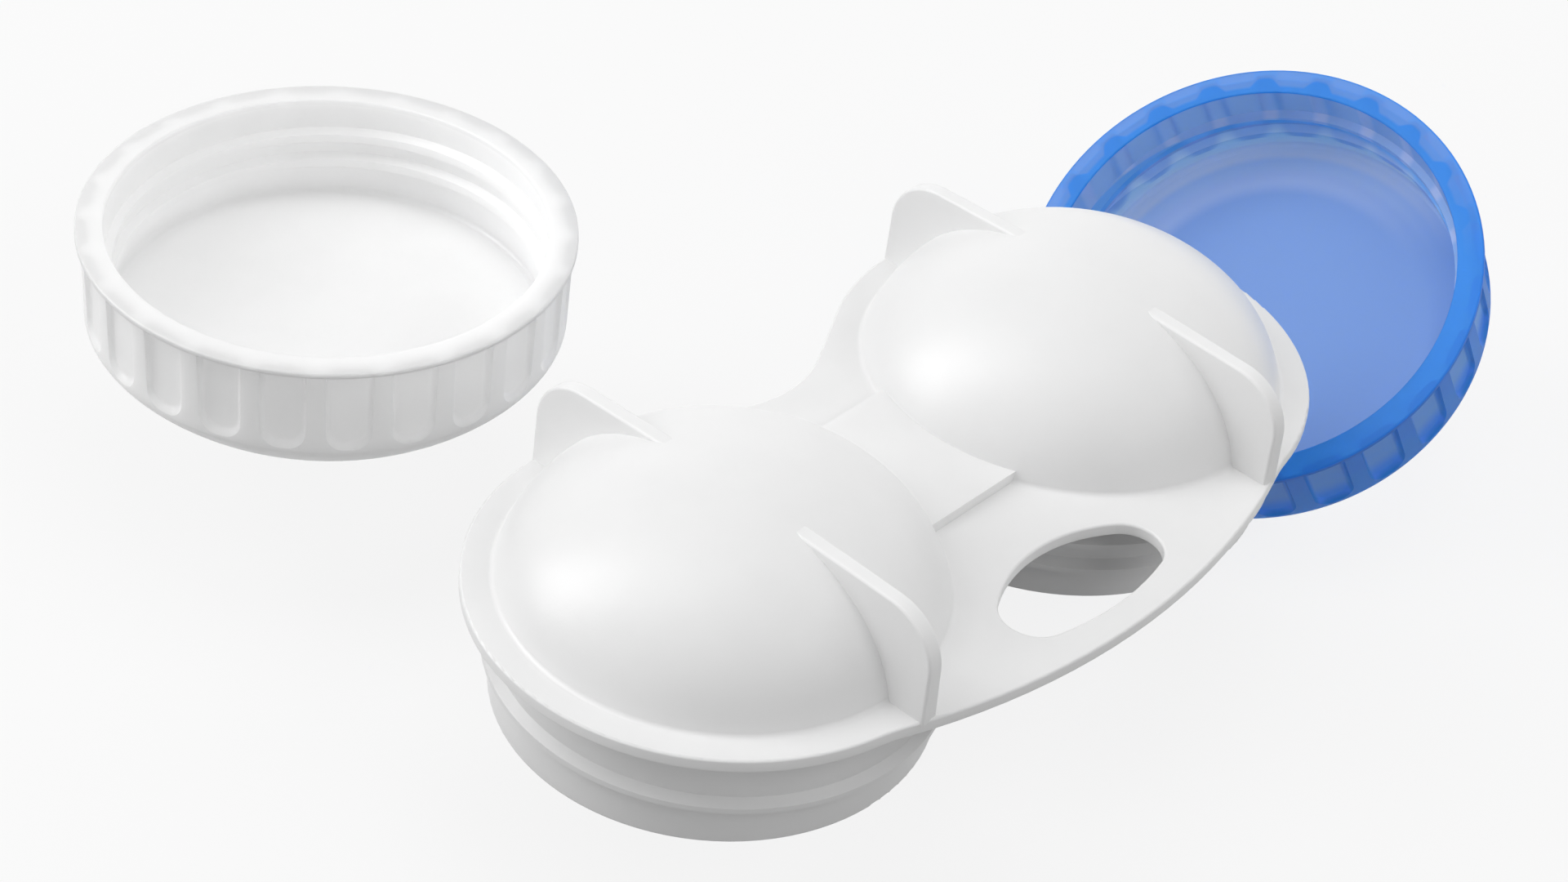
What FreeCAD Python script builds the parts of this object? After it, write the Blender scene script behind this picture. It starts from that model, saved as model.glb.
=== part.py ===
import FreeCAD, Part
import math
import os

from FreeCAD import Placement, Rotation, Vector

# A two-well contact lens case, upside down with both screw caps off beside it.
# Millimetres. X runs along the two wells, +Z is up, and the origin is the middle of
# the bridge's raised face. Inside the functions, z = 0 is the top of the plate.

# Plate
WELL_X = 15.55            # half the spacing of the wells
FLANGE_R = 14.82          # outer radius of the flange round each well
PLATE_T = 0.85
WAIST_ANGLE = 119.0       # where the waist leaves the flange, degrees round the right well
WAIST_R = 8.2
BELLY_Y, BELLY_R = -18.05, 48.3
BELLY_END_X = 18.4
BELLY_BLEND_R = 12.0
EDGE_R = 0.15

# Finger hole
HOLE_TOP_Y, HOLE_TOP_R = -10.1, 9.6
HOLE_BOTTOM_Y, HOLE_BOTTOM_R = -16.2, 19.0
HOLE_CORNER_R = 2.15

# Wells
DOME_R, DOME_H = 12.9, 7.45
DOME_FOOT = 0.32          # radius of the fillet at the foot of the dome
DOME_RISE = 4.8           # length of the steep part of the dome
DOME_LEAN = 1.25          # how far the steep part leans in
DOME_CROWN = 6.2          # half-width of the flat part of the dome
DOME_SINK = 0.3           # how far the dome goes down into the plate
BORE_R, BOWL_H = 11.7, 6.6
BOWL_RISE, BOWL_LEAN, BOWL_CROWN = 3.6, 0.35, 5.6
NECK_R, NECK_H = 12.95, 7.05
NECK_SINK = 0.4           # how far the neck goes up into the plate
RIM_EDGE_R = 0.2

# Threads, which run left-handed
PITCH = 1.93
THREAD_SINK = 0.15        # how far a ridge's root goes into the wall it stands on
NECK_CREST_R = 13.5
NECK_THREAD_TURNS = 1.28
NECK_THREAD_Z = -3.45     # below the plate's top, at the start
NECK_THREAD_ROOT, NECK_THREAD_CREST = 1.4, 0.35
LEFT_START, RIGHT_START = -58.0, -145.0
CAP_CREST_R = 13.25
CAP_THREAD_TURNS = 1.67
CAP_THREAD_Z = -2.12      # below the cap's rim, at the start
CAP_THREAD_START = -50.0
RUN_OUT_OVER = 0.05       # how far that cut reaches past the wall at the very end
RUN_OUT_SHIFT = 3.0       # how far off the axis the round cut lies that fades a ridge's end
CAP_THREAD_ROOT, CAP_THREAD_CREST = 1.45, 0.55

# Fins on the domes
FIN_FOOT_T, FIN_TOP_T = 1.2, 0.97
FIN_TOP_Z = 6.95
FIN_SINK = 0.2            # how far the fin goes down into the plate
FIN_INNER_Y = 3.0         # where the fin starts, inside the dome
FIN_DROP = 0.42           # how far the top falls towards its outer end
FIN_NEAR_Y, FIN_FAR_Y = -15.42, 14.87
FIN_LEAN = 0.12           # how far the outer edge leans in by its top
FIN_CORNER_R = 3.4
FIN_EDGE_R = 0.18

# Bridge between the domes
BRIDGE_HALF_Y = 5.2
BRIDGE_RISE = 0.72
BRIDGE_SINK = 0.3         # how far the bridge goes down into the plate
BRIDGE_END = 6.0          # from a well's middle to the bridge's end, inside the dome

# Caps
CAP_R, CAP_H = 15.45, 9.95
LIP_H = 0.35
RIB_R, RIB_FOOT_R = 15.2, 15.05
CAP_INNER_R, CAP_DEPTH = 13.7, 7.05
CAP_RIM_FILLET = 0.12
CAP_FOOT_Z = -6.2         # where the lower edge starts to curve in
CAP_KNEE_IN, CAP_KNEE_Z = 0.1, -7.0   # the curve's two control points
CAP_TURN_R, CAP_TURN_Z = 12.5, -9.1
CAP_BASE_R = 10.7
CAP_FLOOR_FILLET = 0.4
FLUTES = 24
FLUTE_BED_R = 14.75
FLUTE_W, FLUTE_BED_W = 2.92, 2.4
FLUTE_END_Z, FLUTE_BED_END_Z = -6.25, -5.6
FLUTE_CORNER_R = 1.1
FLUTE_BED_FILLET = 0.25
FLUTE_OUT = 0.6           # how far the cutter of a flute stands out of the wall
FLUTE_PHASE = 8.2         # degrees to the middle of a flute

# Where the caps lie
WHITE_X, WHITE_Y = -11.31, 37.95
BLUE_RIM = Vector(37.3, 1.6, -4.21)
BLUE_AXIS = Vector(-0.677, -0.003, 1.0)
BLUE_TURN = -88.4

Z = Vector(0, 0, 1)
O = Vector(0, 0, 0)
SPARE = 1.0               # how far a cutter goes past what it cuts
TOUCH = 1e-5              # two places nearer than this are the same


def polar(radius, degrees, z=0.0):
    a = math.radians(degrees)
    return Vector(radius * math.cos(a), radius * math.sin(a), z)


def polygon(points):
    return Part.makePolygon(points + [points[0]])


def prism(wire, depth):
    return Part.Face(wire).extrude(Vector(0, 0, depth))


def bezier(points):
    curve = Part.BezierCurve()
    curve.setPoles([Vector(x, 0, z) for x, z in points])
    return curve.toShape()


def line(a, b):
    return Part.makeLine(Vector(a[0], 0, a[1]), Vector(b[0], 0, b[1]))


def arc(a, b, c):
    return Part.Arc(*[Vector(x, 0, z) for x, z in (a, b, c)]).toShape()


def revolved(edges):
    return Part.Face(Part.Wire(edges)).revolve(O, Z, 360)


def upright_edges(shape, pick):
    """Straight edges along Z whose middle satisfies pick."""
    found = []
    for e in shape.Edges:
        if isinstance(e.Curve, Part.Line):
            d = e.valueAt(e.LastParameter) - e.valueAt(e.FirstParameter)
            if abs(d.x) + abs(d.y) < TOUCH and pick(e.CenterOfMass):
                found.append(e)
    return found


def level_edges(shape, z, pick=lambda p: True):
    """Edges that lie in the plane at height z."""
    return [
        e
        for e in shape.Edges
        if abs(e.BoundBox.ZMin - z) < TOUCH
        and abs(e.BoundBox.ZMax - z) < TOUCH
        and pick(e.CenterOfMass)
    ]


def finger_hole():
    """A leaf between two arcs, with rounded ends."""
    low, deep = -PLATE_T - SPARE, PLATE_T + 2 * SPARE
    top = Part.makeCylinder(HOLE_TOP_R, deep, Vector(0, HOLE_TOP_Y - HOLE_TOP_R, low))
    bottom = Part.makeCylinder(HOLE_BOTTOM_R, deep, Vector(0, HOLE_BOTTOM_Y + HOLE_BOTTOM_R, low))
    leaf = top.common(bottom)
    return leaf.makeFillet(HOLE_CORNER_R, upright_edges(leaf, lambda p: abs(p.x) > TOUCH))


def plate():
    """The flat plate with both flanges, the waist and the belly."""
    low = Vector(0, 0, -PLATE_T)
    discs = [
        Part.makeCylinder(FLANGE_R, PLATE_T, Vector(x, 0, -PLATE_T)) for x in (-WELL_X, WELL_X)
    ]
    touch = polar(FLANGE_R, WAIST_ANGLE) + Vector(WELL_X, 0, 0)
    slope = math.tan(math.radians(WAIST_ANGLE - 90))
    notch = Vector(0, touch.y - touch.x * slope, 0)
    waist = prism(
        polygon(
            [p + low for p in (
                notch, touch, Vector(WELL_X, 0, 0), Vector(-WELL_X, 0, 0),
                Vector(-touch.x, touch.y, 0),
            )]
        ),
        PLATE_T,
    )
    centre_y = BELLY_Y + BELLY_R
    end_y = centre_y - math.sqrt(BELLY_R**2 - BELLY_END_X**2)
    right, left = Vector(BELLY_END_X, end_y, 0) + low, Vector(-BELLY_END_X, end_y, 0) + low
    curve = Part.Arc(right, Vector(0, BELLY_Y, 0) + low, left).toShape()
    inner = [Vector(-WELL_X, SPARE, 0) + low, Vector(WELL_X, SPARE, 0) + low]
    belly = prism(
        Part.Wire([
            curve,
            Part.makeLine(left, inner[0]),
            Part.makeLine(inner[0], inner[1]),
            Part.makeLine(inner[1], right),
        ]),
        PLATE_T,
    )
    body = discs[0].fuse([discs[1], waist, belly]).removeSplitter()
    body = body.makeFillet(WAIST_R, upright_edges(body, lambda p: abs(p.x) < TOUCH and p.y > 0))
    corners = upright_edges(body, lambda p: p.y < -FLANGE_R / 2 and abs(p.x) > WELL_X)
    body = body.makeFillet(BELLY_BLEND_R, corners)
    body = body.cut(finger_hole())
    edges = level_edges(body, 0) + level_edges(body, -PLATE_T)
    return body.makeFillet(EDGE_R, edges)


def dome():
    """The outside of a well, closed underneath in the plate."""
    foot = DOME_R + DOME_FOOT
    bend = DOME_FOOT * (1 - math.sqrt(0.5))
    start = (DOME_R, DOME_FOOT)
    return revolved([
        line((0, -DOME_SINK), (foot, -DOME_SINK)),
        line((foot, -DOME_SINK), (foot, 0)),
        arc((foot, 0), (DOME_R + bend, bend), start),
        bezier([
            start, (DOME_R - DOME_LEAN, DOME_FOOT + DOME_RISE), (DOME_CROWN, DOME_H), (0, DOME_H)
        ]),
        line((0, DOME_H), (0, -DOME_SINK)),
    ])


def bowl():
    """The space inside a well, from below the neck's rim up to the crown."""
    low = -PLATE_T - NECK_H - SPARE
    return revolved([
        line((0, low), (BORE_R, low)),
        line((BORE_R, low), (BORE_R, 0)),
        bezier([
            (BORE_R, 0), (BORE_R - BOWL_LEAN, BOWL_RISE), (BOWL_CROWN, BOWL_H), (0, BOWL_H)
        ]),
        line((0, BOWL_H), (0, low)),
    ])


def neck():
    rim = -PLATE_T - NECK_H
    body = Part.makeCylinder(NECK_R, NECK_H + NECK_SINK, Vector(0, 0, rim))
    body = body.cut(Part.makeCylinder(BORE_R, NECK_H + 2 * SPARE, Vector(0, 0, rim - SPARE)))
    return body.makeFillet(RIM_EDGE_R, level_edges(body, rim))


def thread(root_r, crest_r, root_w, crest_w, turns, start_deg, start_z):
    """A trapezoid ridge that goes down as it goes anticlockwise."""
    helix = Part.makeHelix(PITCH, PITCH * turns, root_r)
    wire = polygon([
        Vector(root_r, 0, -root_w / 2),
        Vector(crest_r, 0, -crest_w / 2),
        Vector(crest_r, 0, crest_w / 2),
        Vector(root_r, 0, root_w / 2),
    ])
    ridge = Part.Wire(helix).makePipeShell([wire], True, True)
    ridge = ridge.mirror(O, Z)
    ridge.rotate(O, Z, start_deg)
    ridge.translate(Vector(0, 0, start_z))
    return ridge


def neck_thread(start_deg):
    return thread(
        NECK_R - THREAD_SINK, NECK_CREST_R, NECK_THREAD_ROOT, NECK_THREAD_CREST,
        NECK_THREAD_TURNS, start_deg, NECK_THREAD_Z,
    )


def fin(outer_y):
    """A thin upright fin from a well's middle out to the plate's edge."""
    side = math.copysign(1, outer_y)
    below = FIN_SINK / FIN_TOP_Z
    inner_y = side * FIN_INNER_Y
    top_y = outer_y - side * FIN_LEAN
    foot_y = outer_y + side * FIN_LEAN * below
    top_z = FIN_TOP_Z - FIN_DROP
    outline = polygon([
        Vector(-FIN_FOOT_T, inner_y, -FIN_SINK), Vector(-FIN_FOOT_T, foot_y, -FIN_SINK),
        Vector(-FIN_FOOT_T, top_y, top_z), Vector(-FIN_FOOT_T, inner_y, FIN_TOP_Z),
    ])
    blade = Part.Face(outline).extrude(Vector(2 * FIN_FOOT_T, 0, 0))
    corner = [
        e for e in blade.Edges
        if abs(e.CenterOfMass.y - top_y) < TOUCH and abs(e.CenterOfMass.z - top_z) < TOUCH
    ]
    blade = blade.makeFillet(FIN_CORNER_R, corner)
    top = FIN_TOP_T / 2
    foot = FIN_FOOT_T / 2 + (FIN_FOOT_T - FIN_TOP_T) / 2 * below
    taper = Part.Face(polygon([
        Vector(-foot, -FLANGE_R - SPARE, -FIN_SINK), Vector(foot, -FLANGE_R - SPARE, -FIN_SINK),
        Vector(top, -FLANGE_R - SPARE, FIN_TOP_Z), Vector(-top, -FLANGE_R - SPARE, FIN_TOP_Z),
    ])).extrude(Vector(0, 2 * (FLANGE_R + SPARE), 0))
    blade = blade.common(taper)
    rim = []              # the long edges of both sides, out beyond the dome and above the foot
    for e in blade.Edges:
        box, middle = e.BoundBox, e.CenterOfMass
        runs_out = side * middle.y > FIN_INNER_Y + SPARE and middle.z > FIN_CORNER_R / 8
        if runs_out and abs(middle.x) > FIN_EDGE_R / 4 and box.XLength < FIN_EDGE_R:
            rim.append(e)
    return blade.makeFillet(FIN_EDGE_R, rim)


def bridge():
    end_x = WELL_X - BRIDGE_END
    return Part.makeBox(
        2 * end_x, 2 * BRIDGE_HALF_Y, BRIDGE_RISE + BRIDGE_SINK,
        Vector(-end_x, -BRIDGE_HALF_Y, -BRIDGE_SINK),
    )


def case_base():
    wells, bowls = [bridge()], []
    for x, start in ((-WELL_X, LEFT_START), (WELL_X, RIGHT_START)):
        at = Vector(x, 0, 0)
        for piece in (dome(), neck(), neck_thread(start), fin(FIN_NEAR_Y), fin(FIN_FAR_Y)):
            piece.translate(at)
            wells.append(piece)
        space = bowl()
        space.translate(at)
        bowls.append(space)
    body = plate().fuse(wells)
    for space in bowls:
        body = body.cut(space)
    return body.removeSplitter()


def flute():
    """What is cut out of the cap's wall for one flute, on the +X side."""
    wires = []
    grow = (FLUTE_W - FLUTE_BED_W) / (RIB_R - FLUTE_BED_R) * FLUTE_OUT
    deepen = (FLUTE_BED_END_Z - FLUTE_END_Z) / (RIB_R - FLUTE_BED_R) * FLUTE_OUT
    for r, width, end in (
        (FLUTE_BED_R, FLUTE_BED_W, FLUTE_BED_END_Z),
        (RIB_R + FLUTE_OUT, FLUTE_W + grow, FLUTE_END_Z - deepen),
    ):
        h, c = width / 2, FLUTE_CORNER_R
        k = c * (1 - math.sqrt(0.5))
        p = lambda y, z: Vector(r, y, z)
        wires.append(Part.Wire([
            Part.makeLine(p(-h, -LIP_H), p(-h, end + c)),
            Part.Arc(p(-h, end + c), p(-h + k, end + k), p(-h + c, end)).toShape(),
            Part.makeLine(p(-h + c, end), p(h - c, end)),
            Part.Arc(p(h - c, end), p(h - k, end + k), p(h, end + c)).toShape(),
            Part.makeLine(p(h, end + c), p(h, -LIP_H)),
            Part.makeLine(p(h, -LIP_H), p(-h, -LIP_H)),
        ]))
    cutter = Part.makeLoft(wires, True, True)
    bed = [
        e for e in cutter.Edges
        if all(abs(v.X - FLUTE_BED_R) < TOUCH for v in e.Vertexes)
        and min(v.Z for v in e.Vertexes) < -LIP_H - TOUCH
    ]
    return cutter.makeFillet(FLUTE_BED_FILLET, bed)


def cap_ridge():
    """The cap's inner thread, faded into the wall at both ends."""
    ridge = thread(
        CAP_INNER_R + THREAD_SINK, CAP_CREST_R, CAP_THREAD_ROOT, CAP_THREAD_CREST,
        CAP_THREAD_TURNS, CAP_THREAD_START, CAP_THREAD_Z,
    )
    low_z = CAP_THREAD_Z - PITCH * CAP_THREAD_TURNS
    for degrees, foot in (
        (CAP_THREAD_START, CAP_THREAD_Z - PITCH / 2),
        (CAP_THREAD_START + 360 * CAP_THREAD_TURNS, low_z - PITCH * 1.5),
    ):
        radius = CAP_INNER_R + RUN_OUT_OVER - RUN_OUT_SHIFT
        ridge = ridge.cut(Part.makeCylinder(radius, 2 * PITCH, polar(RUN_OUT_SHIFT, degrees, foot)))
    return ridge


def cap():
    """A screw cap with its opening up and its rim at z = 0."""
    floor = -CAP_DEPTH
    f = CAP_FLOOR_FILLET
    bend = f * (1 - math.sqrt(0.5))
    r = CAP_INNER_R
    body = revolved([
        line((0, -CAP_H), (CAP_BASE_R, -CAP_H)),
        bezier([
            (CAP_BASE_R, -CAP_H), (CAP_TURN_R, CAP_TURN_Z), (RIB_FOOT_R - CAP_KNEE_IN, CAP_KNEE_Z),
            (RIB_FOOT_R, CAP_FOOT_Z),
        ]),
        line((RIB_FOOT_R, CAP_FOOT_Z), (RIB_R, -LIP_H)),
        line((RIB_R, -LIP_H), (CAP_R, -LIP_H)),
        line((CAP_R, -LIP_H), (CAP_R, 0)),
        line((CAP_R, 0), (r, 0)),
        line((r, 0), (r, floor + f)),
        arc((r, floor + f), (r - bend, floor + bend), (r - f, floor)),
        line((r - f, floor), (0, floor)),
        line((0, floor), (0, -CAP_H)),
    ])
    body = body.makeFillet(CAP_RIM_FILLET, level_edges(body, 0))
    flutes = []
    for i in range(FLUTES):
        one = flute()
        one.rotate(O, Z, FLUTE_PHASE + 360.0 * i / FLUTES)
        flutes.append(one)
    body = body.cut(flutes)
    return body.fuse(cap_ridge())


def placed(shape, at, axis=Z, turn=0.0):
    """The shape turned about its own axis, tilted so that axis points along axis, and moved."""
    shape = shape.copy()
    spin = Rotation(Z, turn)
    shape.Placement = Placement(at, Rotation(Z, axis).multiply(spin))
    return shape


def main():
    os.makedirs("parts", exist_ok=True)
    drop = Vector(0, 0, -BRIDGE_RISE)
    rest_z = -PLATE_T - NECK_H
    one_cap = cap()
    nodes = {
        "case_base": placed(case_base(), drop),
        "white_cap": placed(one_cap, Vector(WHITE_X, WHITE_Y, rest_z + CAP_H) + drop),
        "blue_cap": placed(one_cap, BLUE_RIM + drop, BLUE_AXIS, BLUE_TURN),
    }
    for name, shape in nodes.items():
        solid = shape.Solids[0] if len(shape.Solids) == 1 else shape
        box = solid.BoundBox
        print(
            name, "solids", len(shape.Solids), "faces", len(solid.Faces), "valid", solid.isValid(),
            "volume %.1f" % solid.Volume,
            "x %.2f..%.2f y %.2f..%.2f z %.2f..%.2f"
            % (box.XMin, box.XMax, box.YMin, box.YMax, box.ZMin, box.ZMax),
        )
        solid.exportStep("parts/%s.step" % name)


main()
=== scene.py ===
"""Finish and stage for a contact lens case: a twin-well base, a white cap and a blue cap."""

import math

import bpy
from mathutils import Matrix, Vector


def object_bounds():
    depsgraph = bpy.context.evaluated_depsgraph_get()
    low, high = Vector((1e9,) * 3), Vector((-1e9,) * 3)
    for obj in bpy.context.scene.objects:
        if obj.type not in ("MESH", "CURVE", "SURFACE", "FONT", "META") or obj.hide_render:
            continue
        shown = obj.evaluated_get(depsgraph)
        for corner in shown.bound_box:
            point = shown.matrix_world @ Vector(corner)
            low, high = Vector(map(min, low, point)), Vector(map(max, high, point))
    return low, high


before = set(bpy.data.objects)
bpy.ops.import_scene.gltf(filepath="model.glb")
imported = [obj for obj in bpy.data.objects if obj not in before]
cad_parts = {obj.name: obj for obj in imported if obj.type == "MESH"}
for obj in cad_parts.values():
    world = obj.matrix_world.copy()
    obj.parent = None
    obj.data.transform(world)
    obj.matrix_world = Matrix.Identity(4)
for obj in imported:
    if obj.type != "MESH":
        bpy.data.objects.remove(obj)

bl_info = {
    "name": "Contact Lens Case",
    "version": (1, 0, 0),
    "blender": (4, 5, 0),
    "location": "3D View > Sidebar > Lens Case",
    "description": "Gives the lens case its moulded plastics and sets it on a plain stage",
    "category": "Object",
}

MM = 0.001
CAD_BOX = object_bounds()

# The caps as the solids have them, in millimetres and degrees. A cap's place is its rim's
# centre, and its axis points out of its opening.
FLUTES = 24
FLUTE_STEP = 360.0 / FLUTES
WHITE_RIM = Vector((-11.31, 37.95, 1.33))
BLUE_RIM = Vector((37.3, 1.6, -4.93))
BLUE_AXIS = Vector((-0.56061, -0.00248, 0.82808))
BLUE_SIDE = Vector((BLUE_AXIS.z, 0.0, -BLUE_AXIS.x)).normalized()
BLUE_ACROSS = BLUE_AXIS.cross(BLUE_SIDE)
BLUE_FIRST_RIB = 2.1


# ---------------------------------------------------------------- node helpers


class Wiring:
    """Adds nodes to one tree and joins them up."""

    def __init__(self, tree):
        self.tree = tree

    def put(self, value, socket):
        if isinstance(value, bpy.types.NodeSocket):
            self.tree.links.new(value, socket)
        elif value is not None:
            socket.default_value = value

    def add(self, kind, inputs=None, **settings):
        node = self.tree.nodes.new(kind)
        for name, value in settings.items():
            setattr(node, name, value)
        for name, value in (inputs or {}).items():
            self.put(value, node.inputs[name])
        return node

    def sum(self, operation, *values):
        node = self.add("ShaderNodeMath", operation=operation)
        for socket, value in zip(node.inputs, values):
            self.put(value, socket)
        return node.outputs[0]

    def vector(self, operation, *values, out="Vector"):
        node = self.add("ShaderNodeVectorMath", operation=operation)
        for socket, value in zip(node.inputs, values):
            self.put(value, socket)
        return node.outputs[out]

    def ease(self, value, low, high, start=0.0, end=1.0):
        """start below low, end above high, and a smooth change between them."""
        node = self.add("ShaderNodeMapRange", interpolation_type="SMOOTHSTEP")
        for name, given in (
            ("Value", value),
            ("From Min", low),
            ("From Max", high),
            ("To Min", start),
            ("To Max", end),
        ):
            self.put(given, node.inputs[name])
        return node.outputs["Result"]

    def fade(self, value, low, high):
        """1 below low, 0 above high, and a smooth change between them."""
        return self.ease(value, low, high, 1.0, 0.0)

    def mix(self, factor, first, second, blend_type="MIX"):
        node = self.add("ShaderNodeMix", data_type="RGBA", blend_type=blend_type)
        self.put(factor, node.inputs[0])
        self.put(first, node.inputs[6])
        self.put(second, node.inputs[7])
        return node.outputs[2]

    def group(self, tree, **inputs):
        node = self.add("ShaderNodeGroup", node_tree=tree)
        for name, value in inputs.items():
            self.put(value, node.inputs[name.replace("_", " ")])
        return node.outputs


def cleared(owner):
    """Empties the node tree of a material or a world and returns its wiring."""
    owner.use_nodes = True
    owner.node_tree.nodes.clear()
    return Wiring(owner.node_tree)


def new_group(name, inputs, outputs):
    """An empty node group with its named sockets; returns the group, its wiring and its ends."""
    tree = bpy.data.node_groups.new(name, "ShaderNodeTree")
    for label, kind, value in inputs:
        socket = tree.interface.new_socket(name=label, in_out="INPUT", socket_type=kind)
        if value is not None:
            socket.default_value = value
    for label, kind in outputs:
        tree.interface.new_socket(name=label, in_out="OUTPUT", socket_type=kind)
    wiring = Wiring(tree)
    return tree, wiring, wiring.add("NodeGroupInput").outputs, wiring.add("NodeGroupOutput").inputs


FLOAT, VECTOR, COLOUR = "NodeSocketFloat", "NodeSocketVector", "NodeSocketColor"
NOISE_SPREAD = (0.35, 0.65)   # most of a noise lies between these
ROUGHNESS_PATCH = 4.0         # width of the patches in which the roughness wanders, in mm
MOTTLE_PATCH = 5.0            # width of the patches in which the tone wanders, in mm
MOTTLE = 0.985                # how deep the tone goes there


def grain_group():
    """Fine moulded grain: a height for the bump and a roughness that wanders a little."""
    tree, w, given, made = new_group(
        "moulded_grain",
        [
            ("Place", VECTOR, None),
            ("Grain Size", FLOAT, 0.12),
            ("Roughness", FLOAT, 0.4),
            ("Roughness Spread", FLOAT, 0.06),
        ],
        [("Height", FLOAT), ("Roughness", FLOAT)],
    )
    scale = w.sum("DIVIDE", 1.0 / MM, given["Grain Size"])
    fine = w.add(
        "ShaderNodeTexNoise",
        {"Vector": given["Place"], "Scale": scale, "Detail": 3.0, "Roughness": 0.6},
    )
    slow = w.add(
        "ShaderNodeTexNoise",
        {
            "Vector": given["Place"],
            "Scale": 1.0 / (ROUGHNESS_PATCH * MM),
            "Detail": 2.0,
            "Roughness": 0.5,
        },
    )
    offset = w.sum("MULTIPLY_ADD", slow.outputs["Fac"], 2.0, -1.0)
    w.put(fine.outputs["Fac"], made["Height"])
    w.put(
        w.sum("MULTIPLY_ADD", offset, given["Roughness Spread"], given["Roughness"]),
        made["Roughness"],
    )
    return tree


def mottle_group():
    """Slow, faint change of tone across a moulding, between two colours."""
    tree, w, given, made = new_group(
        "moulding_tone",
        [
            ("Place", VECTOR, None),
            ("Patch Size", FLOAT, MOTTLE_PATCH),
            ("Light Tone", COLOUR, (0.9, 0.9, 0.9, 1.0)),
            ("Deep Tone", COLOUR, (0.85, 0.85, 0.85, 1.0)),
        ],
        [("Colour", COLOUR)],
    )
    scale = w.sum("DIVIDE", 1.0 / MM, given["Patch Size"])
    noise = w.add(
        "ShaderNodeTexNoise", {"Vector": given["Place"], "Scale": scale, "Detail": 3.0}
    )
    amount = w.ease(noise.outputs["Fac"], *NOISE_SPREAD)
    w.put(w.mix(amount, given["Light Tone"], given["Deep Tone"]), made["Colour"])
    return tree


def cap_place_group():
    """Where a point lies on a cap: its distance from the axis and its height over the rim, in
    millimetres, its azimuth in degrees, and how far it is from one rib to the next, 0 to 1."""
    tree, w, given, made = new_group(
        "cap_place",
        [
            ("Place", VECTOR, None),
            ("Rim Centre", VECTOR, None),
            ("Side", VECTOR, (1.0, 0.0, 0.0)),
            ("Across", VECTOR, (0.0, 1.0, 0.0)),
            ("Axis", VECTOR, (0.0, 0.0, 1.0)),
            ("First Rib", FLOAT, 0.0),
        ],
        [("Radius", FLOAT), ("Height", FLOAT), ("Azimuth", FLOAT), ("Rib Turn", FLOAT)],
    )
    millimetres = w.vector("SCALE", given["Place"])
    millimetres.node.inputs["Scale"].default_value = 1.0 / MM
    local = w.vector("SUBTRACT", millimetres, given["Rim Centre"])
    side = w.vector("DOT_PRODUCT", local, given["Side"], out="Value")
    across = w.vector("DOT_PRODUCT", local, given["Across"], out="Value")
    across_squared = w.sum("MULTIPLY", across, across)
    radius = w.sum("SQRT", w.sum("MULTIPLY_ADD", side, side, across_squared))
    azimuth = w.sum("MULTIPLY", w.sum("ARCTAN2", across, side), math.degrees(1.0))
    ribs = w.sum("DIVIDE", w.sum("SUBTRACT", azimuth, given["First Rib"]), FLUTE_STEP)
    w.put(radius, made["Radius"])
    w.put(w.vector("DOT_PRODUCT", local, given["Axis"], out="Value"), made["Height"])
    w.put(azimuth, made["Azimuth"])
    w.put(w.sum("FRACT", ribs), made["Rib Turn"])
    return tree


GROUPS = {}


def shared(name, build):
    """The node group of that name, built the first time that it is asked for."""
    if name not in GROUPS:
        GROUPS[name] = build()
    return GROUPS[name]


# ---------------------------------------------------------------- materials


def colour_of(setting):
    return (*setting, 1.0)


def new_material(name):
    """A material with one Principled surface; returns it, its wiring, the surface and a place."""
    material = bpy.data.materials.new(name)
    w = cleared(material)
    surface = w.add("ShaderNodeBsdfPrincipled")
    output = w.add("ShaderNodeOutputMaterial")
    w.put(surface.outputs["BSDF"], output.inputs["Surface"])
    place = w.add("ShaderNodeTexCoord").outputs["Object"]
    return material, w, surface, place


def add_grain(w, surface, place, settings, roughness, spread):
    """Gives a surface its moulded grain and a roughness that wanders by spread."""
    grain = w.group(
        shared("grain", grain_group),
        Place=place,
        Grain_Size=settings.grain_size / MM,
        Roughness=roughness,
        Roughness_Spread=spread,
    )
    bump = w.add(
        "ShaderNodeBump",
        {"Strength": 1.0, "Distance": settings.grain_depth, "Height": grain["Height"]},
    )
    w.put(grain["Roughness"], surface.inputs["Roughness"])
    w.put(bump.outputs["Normal"], surface.inputs["Normal"])


# Where the white pieces carry painted shade and painted light. A pair says where a change starts
# and where it is done: heights and radii in millimetres, counted on a cap from its rim and from its
# axis.
NECK_TOP = (-1.6, -1.5)
# how much darker the painted shade makes the necks
NECK_PAINTED_SHADE = 0.93
WHITE_RIM_FOOT = (-0.4, -0.3)
WHITE_RIB_R, WHITE_RIB_TOP = (14.78, 14.95), (-0.4, -0.35)
WHITE_FLOOR_R, WHITE_FLOOR_FOOT = (13.0, 13.5), (-7.2, -7.1)
# painted shade on the rim, painted light on the ribs and painted shade on the floor, as shares of
# the cap's colour
RIM_PAINTED_SHADE, RIB_PAINTED_LIGHT, FLOOR_PAINTED_SHADE = 0.95, 1.04, 0.98
WHITE_IOR, WHITE_ROUGHNESS_SPREAD = 1.49, 0.05


def base_painted_neck_shade(w, place, colour):
    """The base's colour, with painted shade on the thin necks under the plate, where the plate
    shades them.
    """
    height = w.add("ShaderNodeSeparateXYZ", {"Vector": place}).outputs["Z"]
    neck_shade_mask = w.fade(height, *(edge * MM for edge in NECK_TOP))
    return w.mix(neck_shade_mask, colour_of(colour), colour_of(c * NECK_PAINTED_SHADE for c in colour))


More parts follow.
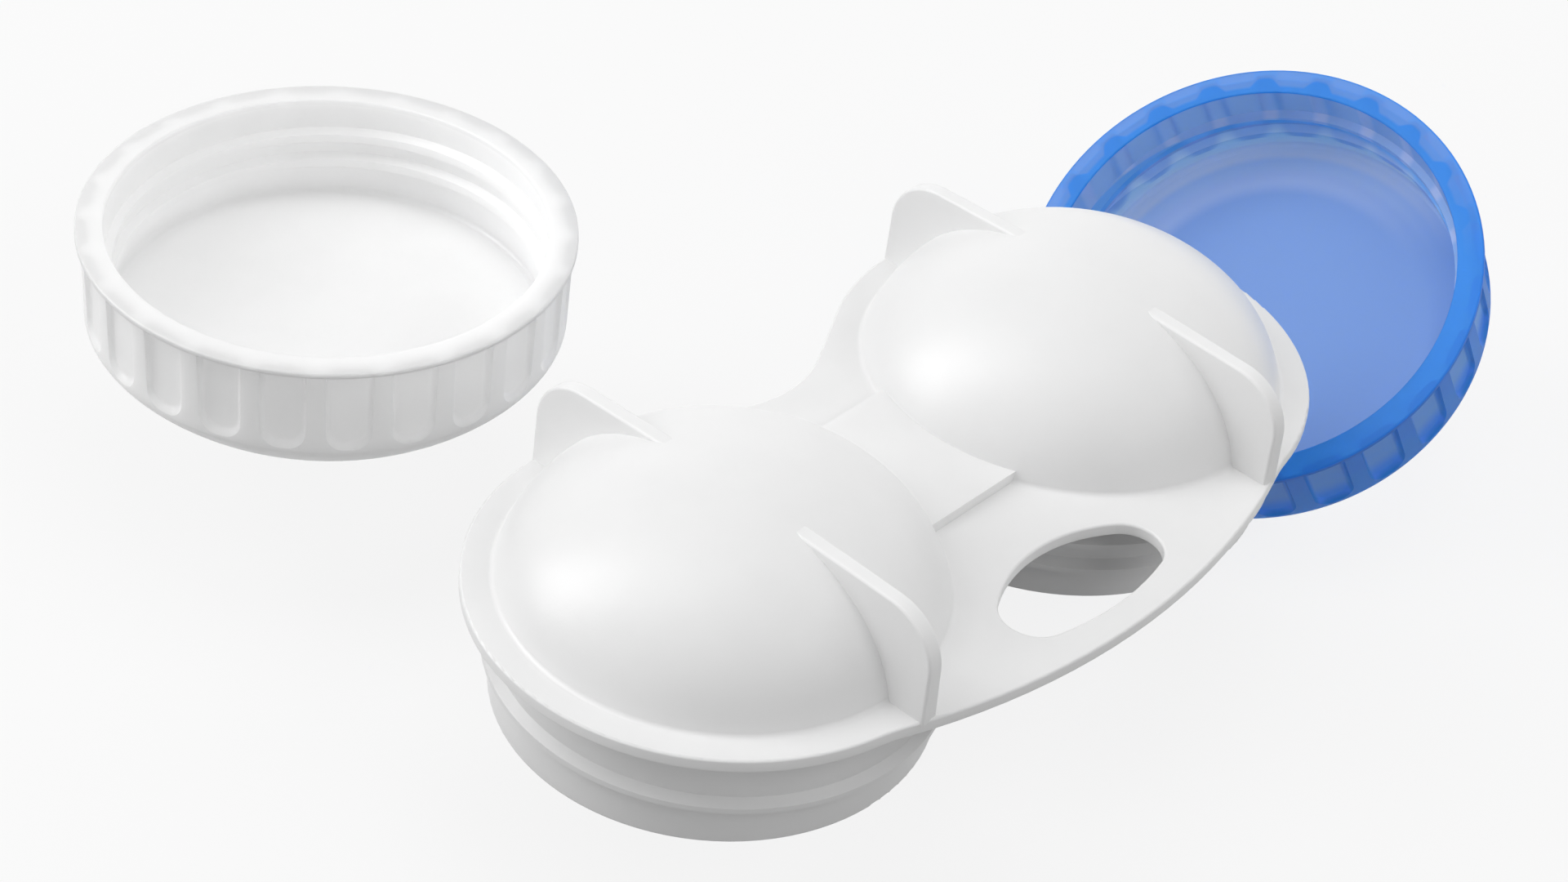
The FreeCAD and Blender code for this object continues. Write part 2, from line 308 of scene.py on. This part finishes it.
def white_cap_painted_light_and_shade(w, place, colour):
    """The white cap's colour with painted light and shade: painted light on the ribs, standing in
    for light coming through the milky wall, and a little painted shade on the rim and the floor,
    which face up into the lamps."""
    cap = w.group(shared("cap_place", cap_place_group), Place=place, Rim_Centre=WHITE_RIM)
    height, radius = cap["Height"], cap["Radius"]
    rim = w.ease(height, *WHITE_RIM_FOOT)
    rib = w.sum("MULTIPLY", w.ease(radius, *WHITE_RIB_R), w.fade(height, *WHITE_RIB_TOP))
    floor = w.sum("MULTIPLY", w.fade(radius, *WHITE_FLOOR_R), w.ease(height, *WHITE_FLOOR_FOOT))
    tone = colour_of(colour)
    for mask, change in ((rim, RIM_PAINTED_SHADE), (rib, RIB_PAINTED_LIGHT), (floor, FLOOR_PAINTED_SHADE)):
        tone = w.mix(mask, tone, colour_of(c * change for c in colour))
    return tone


def white_plastic(name, tone, colour, milkiness, settings):
    """Satin white polypropylene: milky, with a fine even grain."""
    material, w, surface, place = new_material(name)
    # the tone paints each piece's painted shade and painted light into its colour
    light = tone(w, place, colour)
    deep = w.mix(1.0, light, colour_of([MOTTLE] * 3), blend_type="MULTIPLY")
    mottled = w.group(
        shared("mottle", mottle_group),
        Place=place,
        Patch_Size=MOTTLE_PATCH,
        Light_Tone=light,
        Deep_Tone=deep,
    )
    w.put(mottled["Colour"], surface.inputs["Base Color"])
    add_grain(w, surface, place, settings, settings.white_roughness, WHITE_ROUGHNESS_SPREAD)
    surface.inputs["IOR"].default_value = WHITE_IOR
    surface.inputs["Subsurface Weight"].default_value = milkiness
    surface.inputs["Subsurface Scale"].default_value = settings.milk_depth
    surface.inputs["Subsurface Radius"].default_value = (1.0, 1.0, 1.0)
    return material


# Where the blue cap's painted light and shade change, in millimetres from its rim and from its
# axis. The flute shares run from 0 at the middle of a rib to 1 at the middle of a flute, and the
# view shares from -1 where the view runs towards the axis to 1 where it runs outwards.
BLUE_IOR, BLUE_ROUGHNESS_SPREAD = 1.40, 0.015
INSIDE_R, INSIDE_FOOT = (13.9, 14.1), (-7.6, -7.3)
RIM_FOOT = (-0.16, -0.08)
# the scallop is painted refracted light on the rim
SCALLOP_R = (14.68, 14.96)        # inner edge of the pale part of the rim, over a rib
SCALLOP_DEPTH = 0.65              # how much further in it reaches over a flute
SCALLOP_FLUTE = (0.0, 0.65)
SCALLOP_OUTER_R = (15.25, 15.4)
SCALLOP_VIEW = (-0.15, 0.2)
THIN_R, THIN_FLUTE = (14.6, 14.8), (0.2, 0.5)
BED_FLUTE, BED_FALL = (0.3, 0.5), (-5.3, -3.5)
BED_LOW, BED_HIGH, BED_SOFT = -5.7, -0.6, 0.25
UNDER_FALL = (-9.85, -6.3)
STREAK_FLUTE = (0.0, 0.35)
# the painted deep band inside runs along the top of the thread
THREAD_TOP, THREAD_FALL = -3.1, 0.0043    # height at azimuth 0, and its change per degree
THREAD_EDGE = (-0.06, 0.02)
BAND_FOOT = (-1.35, -1.05)        # foot of the deep band, from the top of the thread
# below here the inner wall gets painted pale light
LOBE_TOP = -4.55                  # where the pale foot of the wall starts, behind a rib
LOBE_DEPTH = 1.15                 # how much lower it starts behind a flute
LOBE_EDGE = (-0.65, 0.6)
FLOOR_TOP = (-6.9, -6.6)
# radii of the floor's painted light: a faint ring, a paler band round it and a greyer edge
RING_R, HOLLOW_R, FLOOR_EDGE_R = (9.6, 10.8), (11.2, 11.9), (12.3, 12.9)
RING_VIEW = (0.0, 0.5)


def band(w, value, low, high, soft):
    """1 between low and high and 0 outside, with soft edges."""
    rise = w.ease(value, low - soft, low + soft)
    fall = w.fade(value, high - soft, high + soft)
    return w.sum("MULTIPLY", rise, fall)


def looking_out(w, azimuth):
    """How far the view runs outwards from the cap's axis, from -1 to 1."""
    back = w.add("ShaderNodeNewGeometry").outputs["Incoming"]
    turn = w.sum("RADIANS", azimuth)
    side = w.vector("DOT_PRODUCT", back, BLUE_SIDE, out="Value")
    across = w.vector("DOT_PRODUCT", back, BLUE_ACROSS, out="Value")
    along = w.sum(
        "ADD",
        w.sum("MULTIPLY", side, w.sum("COSINE", turn)),
        w.sum("MULTIPLY", across, w.sum("SINE", turn)),
    )
    return w.sum("MULTIPLY", along, -1.0)


def blue_painted_light_and_shade(w, place, settings):
    """Painted light and shade for the blue plastic: a deep tone where light runs along the rim and
    the thread, painted pale light where it comes straight through the wall, and a painted scallop
    of refracted light at each flute."""

    def blue(part):
        return colour_of(getattr(settings, f"blue_{part}_colour"))

    cap = w.group(
        shared("cap_place", cap_place_group),
        Place=place,
        Rim_Centre=BLUE_RIM,
        Side=BLUE_SIDE,
        Across=BLUE_ACROSS,
        Axis=BLUE_AXIS,
        First_Rib=BLUE_FIRST_RIB,
    )
    height, radius, azimuth, turn = cap["Height"], cap["Radius"], cap["Azimuth"], cap["Rib Turn"]
    view = looking_out(w, azimuth)
    wave = w.sum("COSINE", w.sum("MULTIPLY", turn, math.tau))
    flute = w.sum("MULTIPLY_ADD", wave, -0.5, 0.5)
    inside = w.sum("MULTIPLY", w.fade(radius, *INSIDE_R), w.ease(height, *INSIDE_FOOT))
    under_rim = w.fade(height, *RIM_FOOT)

    # rim, with a painted scallop of refracted light over each flute, where the view runs outwards
    scalloped_r = w.sum("ADD", radius, w.ease(flute, *SCALLOP_FLUTE, 0.0, SCALLOP_DEPTH))
    scallop = w.ease(scalloped_r, *SCALLOP_R)
    scallop = w.sum("MULTIPLY", scallop, w.fade(radius, *SCALLOP_OUTER_R))
    scallop = w.sum("MULTIPLY", scallop, w.ease(view, *SCALLOP_VIEW))
    thin = w.sum("MULTIPLY", w.ease(radius, *THIN_R), w.ease(flute, *THIN_FLUTE))
    pale = w.mix(thin, blue("scallop"), blue("thin"))
    tone = w.mix(scallop, colour_of(settings.blue_colour), pale)

    # outer wall: painted light through the flute beds and the underside
    bed_height = band(w, height, BED_LOW, BED_HIGH, BED_SOFT)
    bed = w.sum("MULTIPLY", w.ease(flute, *BED_FLUTE), bed_height)
    bed_tone = w.mix(w.ease(height, *BED_FALL), blue("bed_foot"), blue("bed"))
    outer = w.mix(bed, blue("wall"), bed_tone)
    outer = w.mix(w.fade(height, *UNDER_FALL), outer, blue("under"))
    outside = w.sum("MULTIPLY", w.sum("SUBTRACT", 1.0, inside), under_rim)
    tone = w.mix(outside, tone, outer)

    # inner wall, from the rim down: painted light streaks behind the ribs, a painted deep band
    # along the thread, greyish lobes under it and painted pale light at the foot
    thread_top = w.sum("MULTIPLY_ADD", azimuth, THREAD_FALL, THREAD_TOP)
    over_thread = w.sum("SUBTRACT", height, thread_top)
    inner = w.mix(w.fade(flute, *STREAK_FLUTE), blue("inner"), blue("streak"))
    inner = w.mix(w.fade(over_thread, *THREAD_EDGE), inner, blue("thread"))
    inner = w.mix(w.fade(over_thread, *BAND_FOOT), inner, blue("lobe"))
    lobe_end = w.sum("MULTIPLY_ADD", flute, -LOBE_DEPTH, LOBE_TOP)
    over_lobe = w.sum("SUBTRACT", height, lobe_end)
    inner = w.mix(w.fade(over_lobe, *LOBE_EDGE), inner, blue("pale"))

    # floor, with painted light: a faint ring, a paler band round it and a greyer edge, painted only
    # at the far side
    floor = blue("floor")
    far = w.ease(view, *RING_VIEW)
    for edge, part in ((RING_R, "ring"), (HOLLOW_R, "hollow"), (FLOOR_EDGE_R, "floor_edge")):
        share = w.sum("MULTIPLY", w.ease(radius, *edge), far)
        floor = w.mix(share, floor, blue(part))
    inner = w.mix(w.fade(height, *FLOOR_TOP), inner, floor)
    return w.mix(w.sum("MULTIPLY", inside, under_rim), tone, inner)


def blue_plastic(settings):
    """Clear blue polypropylene, with the light and shade of its own fluted wall, seen through it,
    painted into its colour.
    """
    material, w, surface, place = new_material("clear_blue_cap")
    w.put(blue_painted_light_and_shade(w, place, settings), surface.inputs["Base Color"])
    add_grain(w, surface, place, settings, settings.blue_roughness, BLUE_ROUGHNESS_SPREAD)
    surface.inputs["IOR"].default_value = BLUE_IOR
    surface.inputs["Transmission Weight"].default_value = settings.blue_clearness
    return material


def dress(node, material):
    """Gives a CAD node its material in every slot."""
    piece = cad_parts[node]
    if not piece.material_slots:
        piece.data.materials.append(material)
    for slot in piece.material_slots:
        slot.material = material


# ---------------------------------------------------------------- settings


def colour_setting(name, description, default):
    """A colour that the panel shows."""
    return bpy.props.FloatVectorProperty(
        name=name,
        description=description,
        subtype="COLOR",
        size=3,
        min=0.0,
        max=1.0,
        default=default,
    )


def share_setting(name, description, default):
    """A share from 0 to 1 that the panel shows."""
    return bpy.props.FloatProperty(
        name=name,
        description=description,
        subtype="FACTOR",
        min=0.0,
        max=1.0,
        default=default,
    )


def length_setting(name, description, default, precision):
    """A length that the panel shows, with precision digits."""
    return bpy.props.FloatProperty(
        name=name,
        description=description,
        unit="LENGTH",
        min=0.0,
        default=default,
        precision=precision,
    )


class LensCaseSettings(bpy.types.PropertyGroup):
    """Colours and finishes of the two plastics."""

    base_colour: colour_setting(
        "Base", "Colour of the twin-well base", (0.84, 0.84, 0.84)
    )
    white_cap_colour: colour_setting(
        "White Cap",
        "Colour of the white cap, a brighter moulding than the base",
        (0.95, 0.95, 0.95),
    )
    base_milkiness: share_setting(
        "Base Milkiness", "Share of the light that spreads inside the base's plastic", 0.2
    )
    white_cap_milkiness: share_setting(
        "White Cap Milkiness", "Share of the light that spreads inside the white cap's plastic", 0.8
    )
    milk_depth: length_setting(
        "Milk Depth", "How far light spreads inside the white plastic", 2.5 * MM, 4
    )
    white_roughness: share_setting(
        "White Roughness", "How matt the white plastic is", 0.36
    )
    # Most blue colours below are painted light and shade, standing in for light passing through the
    # clear plastic; the rim and rib colours are mostly the plastic's own blue.
    blue_colour: colour_setting(
        "Blue Rim", "Colour of the blue cap where it is thick", (0.035, 0.349, 0.995)
    )
    # painted refracted light over each flute
    blue_scallop_colour: colour_setting(
        "Blue Scallops", "Colour of the rim over each flute", (0.167, 0.419, 0.932)
    )
    # painted light through the thin rim above each flute bed
    blue_thin_colour: colour_setting(
        "Blue Thin Edge", "Colour of the rim above each flute bed", (0.217, 0.417, 0.872)
    )
    blue_wall_colour: colour_setting(
        "Blue Wall", "Colour of the ribs outside", (0.014, 0.24, 0.712)
    )
    # painted light through the thinner flute beds
    blue_bed_colour: colour_setting(
        "Blue Flutes", "Colour of the flute beds outside", (0.2, 0.47, 0.8)
    )
    blue_bed_foot_colour: colour_setting(
        "Blue Flute Feet", "Colour of the flute beds towards their lower ends", (0.06, 0.31, 0.96)
    )
    # painted light through the inner wall, lifting the shade inside the cap
    blue_inner_colour: colour_setting(
        "Blue Inner Wall", "Colour inside, just under the rim", (0.465, 0.638, 0.923)
    )
    # painted light streaks behind the ribs
    blue_streak_colour: colour_setting(
        "Blue Streaks", "Colour inside, behind each rib", (0.742, 0.795, 1.0)
    )
    # painted deep band along the thread
    blue_thread_colour: colour_setting(
        "Blue Thread", "Colour inside, on and under the thread", (0.202, 0.537, 0.959)
    )
    blue_lobe_colour: colour_setting(
        "Blue Lobes", "Colour inside, under the thread", (0.499, 0.579, 0.849)
    )
    # painted pale light at the foot of the wall
    blue_pale_colour: colour_setting(
        "Blue Foot", "Colour inside, at the foot of the wall", (1.0, 1.0, 0.986)
    )
    # painted light through the thin floor
    blue_floor_colour: colour_setting(
        "Blue Floor", "Colour of the cap's thin floor", (0.199, 0.372, 0.76)
    )
    # painted rings of light on the floor, shown at the far side only
    blue_ring_colour: colour_setting(
        "Blue Ring", "Colour of the faint ring round the floor", (0.424, 0.567, 0.88)
    )
    blue_hollow_colour: colour_setting(
        "Blue Hollow",
        "Colour of the hollow between the ring and the floor's edge",
        (0.432, 0.599, 0.891),
    )
    blue_floor_edge_colour: colour_setting(
        "Blue Floor Edge", "Colour of the floor next to the wall", (0.697, 0.748, 0.889)
    )
    # painted light through the underside
    blue_under_colour: colour_setting(
        "Blue Underside", "Colour of the cap's underside", (0.439, 0.595, 0.95)
    )
    blue_clearness: share_setting(
        "Blue Clearness", "How much light passes straight through the blue plastic", 0.55
    )
    blue_roughness: share_setting(
        "Blue Roughness", "How matt the blue plastic is", 0.5
    )
    grain_size: length_setting(
        "Grain Size", "Width of one grain of the moulded surface", 0.14 * MM, 5
    )
    grain_depth: length_setting(
        "Grain Depth", "Depth of the moulded grain", 0.004 * MM, 6
    )


class StageSettings(bpy.types.PropertyGroup):
    """Floor, lamps and camera."""

    backdrop_colour: colour_setting(
        "Backdrop", "Colour of the floor and of what lies beyond it", (0.9301, 0.9301, 0.9301)
    )
    world_strength: bpy.props.FloatProperty(
        name="Room Light",
        description="Level of the light that comes from all round",
        min=0.0,
        default=0.15,
    )
    lamp_level: bpy.props.FloatProperty(
        name="Lamp Level",
        description="Level of the soft lamps, as a share of the usual one",
        subtype="FACTOR",
        min=0.0,
        max=2.0,
        default=1.0,
    )
    camera_lens: bpy.props.FloatProperty(
        name="Lens",
        description="Focal length of the camera",
        unit="CAMERA",
        min=1.0,
        default=82.5,
    )


# ---------------------------------------------------------------- operators


class LENSCASE_OT_white_pieces(bpy.types.Operator):
    """Finishes the twin-well base and the white cap in satin white plastic"""

    bl_idname = "lenscase.white_pieces"
    bl_label = "Base and White Cap"

    def execute(self, context):
        settings = context.scene.lens_case
        for node, tone, colour, milkiness in (
            ("case_base", base_painted_neck_shade, settings.base_colour, settings.base_milkiness),
            ("white_cap", white_cap_painted_light_and_shade, settings.white_cap_colour, settings.white_cap_milkiness),
        ):
            dress(node, white_plastic("satin_" + node, tone, colour, milkiness, settings))
        return {"FINISHED"}


class LENSCASE_OT_blue_cap(bpy.types.Operator):
    """Finishes the other cap in clear blue plastic"""

    bl_idname = "lenscase.blue_cap"
    bl_label = "Blue Cap"

    def execute(self, context):
        dress("blue_cap", blue_plastic(context.scene.lens_case))
        return {"FINISHED"}


CAMERA_PLACE = Vector((-134.37, -97.91, 130.13)) * MM
CAMERA_LOOK = Vector((0.61556, 0.49088, -0.61654))
CAMERA_ROLL = math.radians(6.70)
FLOOR_HALF = 3.0
FLOOR_CORNERS = ((-1, -1), (1, -1), (1, 1), (-1, 1))
FLOOR_BOUNCE = 0.3          # how much light the floor throws back on the pieces
FLOOR_PLAIN_SHARE = 0.88    # how much of it shows as plain backdrop near the pieces
FLOOR_PLAIN_LEVEL = 1.027   # makes up for the lit share, which is a little darker
FLOOR_FADE = (0.15, 0.6)    # from here to here the floor turns into plain backdrop, in metres
LAMP_DISTANCE = 0.7
LAMPS = (
    # name, azimuth and height as seen from the case in degrees, width in metres, power in
    # watts, and whether the gloss shows it
    ("top_lamp", 0.0, 88.0, 0.4, 1.07, False),
    ("high_key_lamp", 130.0, 62.0, 0.4, 0.66, True),
    ("key_lamp", 129.0, 40.0, 0.38, 1.21, True),
    ("low_key_lamp", 127.0, 19.0, 0.36, 1.29, True),
    ("left_lamp", 180.0, 15.0, 0.4, 0.76, False),
    ("front_lamp", 270.0, 40.0, 0.4, 1.09, False),
    ("right_lamp", 315.0, 40.0, 0.4, 0.72, False),
    ("far_right_lamp", 0.0, 15.0, 0.4, 0.75, False),
    ("back_lamp", 45.0, 15.0, 0.4, 0.88, False),
)


def seen_ray(w, share):
    """share where the camera, gloss or clear plastic looks at a surface, and 0 where light
    falls on it."""
    path = w.add("ShaderNodeLightPath").outputs
    seen = w.sum("MAXIMUM", path["Is Camera Ray"], path["Is Glossy Ray"])
    seen = w.sum("MAXIMUM", seen, path["Is Transmission Ray"])
    return w.sum("MULTIPLY", seen, share)


def show_mix(w, output, factor, first, second):
    """Ends a material or a world in a mix of two shaders."""
    mixed = w.add("ShaderNodeMixShader")
    for socket, value in zip(mixed.inputs, (factor, first, second)):
        w.put(value, socket)
    w.put(mixed.outputs[0], w.add(output).inputs["Surface"])


class LENSCASE_OT_stage(bpy.types.Operator):
    """Builds the plain floor, the soft lamps and the camera"""

    bl_idname = "lenscase.stage"
    bl_label = "Stage"

    def execute(self, context):
        scene = context.scene
        settings = scene.lens_case_stage
        self.floor(scene, settings)
        self.world(scene, settings)
        self.lamps(scene, settings)
        self.camera(scene, settings)
        scene.view_settings.view_transform = "Standard"
        return {"FINISHED"}

    def floor(self, scene, settings):
        ground = CAD_BOX[0].z
        mesh = bpy.data.meshes.new("floor")
        corners = [(x * FLOOR_HALF, y * FLOOR_HALF, ground) for x, y in FLOOR_CORNERS]
        mesh.from_pydata(corners, [], [(0, 1, 2, 3)])
        floor = bpy.data.objects.new("floor", mesh)
        scene.collection.objects.link(floor)
        material = bpy.data.materials.new("floor_paint")
        w = cleared(material)
        colour = colour_of(settings.backdrop_colour)
        place = w.add("ShaderNodeTexCoord").outputs["Object"]
        distance = w.vector("LENGTH", place, out="Value")
        paint = w.mix(seen_ray(w, 1.0), colour_of([FLOOR_BOUNCE] * 3), colour)
        lit = w.add("ShaderNodeBsdfDiffuse", {"Color": paint})
        level = w.ease(distance, *FLOOR_FADE, FLOOR_PLAIN_LEVEL, 1.0)
        plain = w.add("ShaderNodeEmission", {"Color": colour, "Strength": level})
        factor = seen_ray(w, w.ease(distance, *FLOOR_FADE, FLOOR_PLAIN_SHARE, 1.0))
        show_mix(w, "ShaderNodeOutputMaterial", factor, lit.outputs[0], plain.outputs[0])
        mesh.materials.append(material)

    def world(self, scene, settings):
        world = scene.world or bpy.data.worlds.new("room")
        scene.world = world
        w = cleared(world)
        colour = colour_of(settings.backdrop_colour)
        room = w.add(
            "ShaderNodeBackground",
            {"Color": colour_of([1.0] * 3), "Strength": settings.world_strength},
        )
        plain = w.add("ShaderNodeBackground", {"Color": colour, "Strength": 1.0})
        factor = seen_ray(w, 1.0)
        show_mix(w, "ShaderNodeOutputWorld", factor, room.outputs[0], plain.outputs[0])

    def lamps(self, scene, settings):
        centre = (CAD_BOX[0] + CAD_BOX[1]) / 2
        for name, azimuth, height, width, power, glossy in LAMPS:
            lamp = bpy.data.lights.new(name, "AREA")
            lamp.shape = "DISK"
            lamp.size = width
            lamp.energy = power * settings.lamp_level
            lit = bpy.data.objects.new(name, lamp)
            turn, rise = math.radians(azimuth), math.radians(height)
            out = math.cos(rise)
            towards = Vector((math.cos(turn) * out, math.sin(turn) * out, math.sin(rise)))
            lit.location = centre + towards * LAMP_DISTANCE
            lit.rotation_euler = (-towards).to_track_quat("-Z", "Y").to_euler()
            lit.visible_glossy = glossy
            scene.collection.objects.link(lit)

    def camera(self, scene, settings):
        lens = bpy.data.cameras.new("camera")
        lens.sensor_width = 36.0
        lens.lens = settings.camera_lens
        lens.clip_start = 0.01
        lens.clip_end = 20.0
        camera = bpy.data.objects.new("camera", lens)
        camera.location = CAMERA_PLACE
        aim = CAMERA_LOOK.to_track_quat("-Z", "Y").to_matrix()
        camera.rotation_euler = (aim @ Matrix.Rotation(CAMERA_ROLL, 3, "Z")).to_euler()
        scene.collection.objects.link(camera)
        scene.camera = camera


class LENSCASE_PT_panel(bpy.types.Panel):
    """Lists the pieces and their settings"""

    bl_idname = "LENSCASE_PT_panel"
    bl_label = "Lens Case"
    bl_space_type = "VIEW_3D"
    bl_region_type = "UI"
    bl_category = "Lens Case"

    def draw(self, context):
        layout = self.layout
        for settings in (context.scene.lens_case, context.scene.lens_case_stage):
            box = layout.box()
            for name in settings.__annotations__:
                box.prop(settings, name)
        for operator in OPERATORS:
            layout.operator(operator.bl_idname)


OPERATORS = (LENSCASE_OT_white_pieces, LENSCASE_OT_blue_cap, LENSCASE_OT_stage)
CLASSES = (LensCaseSettings, StageSettings, *OPERATORS, LENSCASE_PT_panel)


def register():
    for made in CLASSES:
        bpy.utils.register_class(made)
    bpy.types.Scene.lens_case = bpy.props.PointerProperty(type=LensCaseSettings)
    bpy.types.Scene.lens_case_stage = bpy.props.PointerProperty(type=StageSettings)


def unregister():
    del bpy.types.Scene.lens_case_stage
    del bpy.types.Scene.lens_case
    for made in reversed(CLASSES):
        bpy.utils.unregister_class(made)


def main():
    register()
    bpy.ops.lenscase.white_pieces()
    bpy.ops.lenscase.blue_cap()
    bpy.ops.lenscase.stage()


if __name__ == "__main__":
    main()
